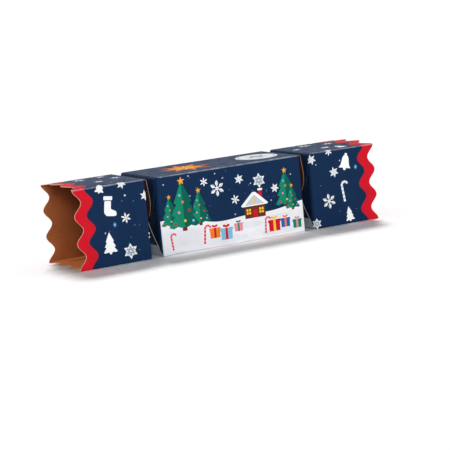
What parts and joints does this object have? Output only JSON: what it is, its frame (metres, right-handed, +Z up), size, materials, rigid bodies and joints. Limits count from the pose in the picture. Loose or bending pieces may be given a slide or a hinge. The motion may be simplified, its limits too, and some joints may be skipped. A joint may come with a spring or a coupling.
{
  "type": "christmas cracker treat box",
  "caption": "Square card cracker with a closed centre box, folded-in necks that pull open and open tails with wavy ends, for holding small treats.",
  "frame": {"origin": "under the middle of the centre box, on the surface it lies on", "axes": "+X along the cracker, +Y to its back, +Z up"},
  "size_m": [0.303, 0.07, 0.07],
  "materials": {
    "printed_card": "satin printed outside, plain brown inside",
    "kraft_card": "plain uncoated"
  },
  "bodies": {
    "centre": {"centre_front_panel": "printed_card", "centre_back_panel": "printed_card", "centre_top_panel": "printed_card", "centre_bottom_panel": "printed_card", "centre_glue_flap": "kraft_card"},
    "left_tail": {"left_tail_front_panel": "printed_card", "left_tail_back_panel": "printed_card", "left_tail_top_panel": "printed_card", "left_tail_bottom_panel": "printed_card", "left_tail_glue_flap": "kraft_card"},
    "left_neck_top_inner_flap": {"left_neck_top_inner_flap": "printed_card"},
    "left_neck_top_outer_flap": {"left_neck_top_outer_flap": "printed_card"},
    "left_neck_bottom_inner_flap": {"left_neck_bottom_inner_flap": "printed_card"},
    "left_neck_bottom_outer_flap": {"left_neck_bottom_outer_flap": "printed_card"},
    "left_centre_front_dust_flap": {"left_centre_front_dust_flap": "printed_card"},
    "left_centre_back_dust_flap": {"left_centre_back_dust_flap": "printed_card"},
    "left_tail_front_dust_flap": {"left_tail_front_dust_flap": "printed_card"},
    "left_tail_back_dust_flap": {"left_tail_back_dust_flap": "printed_card"},
    "right_tail": {"right_tail_front_panel": "printed_card", "right_tail_back_panel": "printed_card", "right_tail_top_panel": "printed_card", "right_tail_bottom_panel": "printed_card", "right_tail_glue_flap": "kraft_card"},
    "right_neck_top_inner_flap": {"right_neck_top_inner_flap": "printed_card"},
    "right_neck_top_outer_flap": {"right_neck_top_outer_flap": "printed_card"},
    "right_neck_bottom_inner_flap": {"right_neck_bottom_inner_flap": "printed_card"},
    "right_neck_bottom_outer_flap": {"right_neck_bottom_outer_flap": "printed_card"},
    "right_centre_front_dust_flap": {"right_centre_front_dust_flap": "printed_card"},
    "right_centre_back_dust_flap": {"right_centre_back_dust_flap": "printed_card"},
    "right_tail_front_dust_flap": {"right_tail_front_dust_flap": "printed_card"},
    "right_tail_back_dust_flap": {"right_tail_back_dust_flap": "printed_card"}
  },
  "joints": [
    {"name": "left_neck_pull", "type": "hinge", "parent": "centre", "child": "left_neck_top_inner_flap", "pos_m": [-0.0715, 0, 0.0695], "axis": [0, 1, 0], "range_deg": [0, 75]},
    {"name": "left_top_valley_crease", "type": "hinge", "parent": "left_neck_top_inner_flap", "child": "left_neck_top_outer_flap", "pos_m": [-0.0775, 0, 0.036], "axis": [0, 1, 0], "range_deg": [-150, 0]},
    {"name": "left_tail_top_crease", "type": "hinge", "parent": "left_neck_top_outer_flap", "child": "left_tail", "pos_m": [-0.0835, 0, 0.0695], "axis": [0, 1, 0], "range_deg": [0, 75]},
    {"name": "left_centre_bottom_crease", "type": "hinge", "parent": "centre", "child": "left_neck_bottom_inner_flap", "pos_m": [-0.0715, 0, 0.0005], "axis": [0, 1, 0], "range_deg": [-75, 0]},
    {"name": "left_tail_bottom_crease", "type": "hinge", "parent": "left_tail", "child": "left_neck_bottom_outer_flap", "pos_m": [-0.0835, 0, 0.0005], "axis": [0, 1, 0], "range_deg": [0, 75]},
    {"name": "left_centre_front_dust_crease", "type": "hinge", "parent": "centre", "child": "left_centre_front_dust_flap", "pos_m": [-0.0715, -0.0345, 0.035], "axis": [0, 0, -1], "range_deg": [0, 75]},
    {"name": "left_tail_front_dust_crease", "type": "hinge", "parent": "left_tail", "child": "left_tail_front_dust_flap", "pos_m": [-0.0835, -0.0345, 0.035], "axis": [0, 0, 1], "range_deg": [0, 75]},
    {"name": "left_centre_back_dust_crease", "type": "hinge", "parent": "centre", "child": "left_centre_back_dust_flap", "pos_m": [-0.0715, 0.0345, 0.035], "axis": [0, 0, 1], "range_deg": [0, 75]},
    {"name": "left_tail_back_dust_crease", "type": "hinge", "parent": "left_tail", "child": "left_tail_back_dust_flap", "pos_m": [-0.0835, 0.0345, 0.035], "axis": [0, 0, -1], "range_deg": [0, 75]},
    {"name": "right_neck_pull", "type": "hinge", "parent": "centre", "child": "right_neck_top_inner_flap", "pos_m": [0.0715, 0, 0.0695], "axis": [0, -1, 0], "range_deg": [0, 75]},
    {"name": "right_top_valley_crease", "type": "hinge", "parent": "right_neck_top_inner_flap", "child": "right_neck_top_outer_flap", "pos_m": [0.0775, 0, 0.036], "axis": [0, -1, 0], "range_deg": [-150, 0]},
    {"name": "right_tail_top_crease", "type": "hinge", "parent": "right_neck_top_outer_flap", "child": "right_tail", "pos_m": [0.0835, 0, 0.0695], "axis": [0, -1, 0], "range_deg": [0, 75]},
    {"name": "right_centre_bottom_crease", "type": "hinge", "parent": "centre", "child": "right_neck_bottom_inner_flap", "pos_m": [0.0715, 0, 0.0005], "axis": [0, -1, 0], "range_deg": [-75, 0]},
    {"name": "right_tail_bottom_crease", "type": "hinge", "parent": "right_tail", "child": "right_neck_bottom_outer_flap", "pos_m": [0.0835, 0, 0.0005], "axis": [0, -1, 0], "range_deg": [0, 75]},
    {"name": "right_centre_front_dust_crease", "type": "hinge", "parent": "centre", "child": "right_centre_front_dust_flap", "pos_m": [0.0715, -0.0345, 0.035], "axis": [0, 0, 1], "range_deg": [0, 75]},
    {"name": "right_tail_front_dust_crease", "type": "hinge", "parent": "right_tail", "child": "right_tail_front_dust_flap", "pos_m": [0.0835, -0.0345, 0.035], "axis": [0, 0, -1], "range_deg": [0, 75]},
    {"name": "right_centre_back_dust_crease", "type": "hinge", "parent": "centre", "child": "right_centre_back_dust_flap", "pos_m": [0.0715, 0.0345, 0.035], "axis": [0, 0, -1], "range_deg": [0, 75]},
    {"name": "right_tail_back_dust_crease", "type": "hinge", "parent": "right_tail", "child": "right_tail_back_dust_flap", "pos_m": [0.0835, 0.0345, 0.035], "axis": [0, 0, 1], "range_deg": [0, 75]}
  ],
  "couplings": [
    {"joint": "left_top_valley_crease", "follows": "left_neck_pull", "ratio": -2},
    {"joint": "left_tail_top_crease", "follows": "left_neck_pull", "ratio": 1},
    {"joint": "left_centre_bottom_crease", "follows": "left_neck_pull", "ratio": -1},
    {"joint": "left_tail_bottom_crease", "follows": "left_neck_pull", "ratio": 1},
    {"joint": "right_top_valley_crease", "follows": "right_neck_pull", "ratio": -2},
    {"joint": "right_tail_top_crease", "follows": "right_neck_pull", "ratio": 1},
    {"joint": "right_centre_bottom_crease", "follows": "right_neck_pull", "ratio": -1},
    {"joint": "right_tail_bottom_crease", "follows": "right_neck_pull", "ratio": 1}
  ]
}
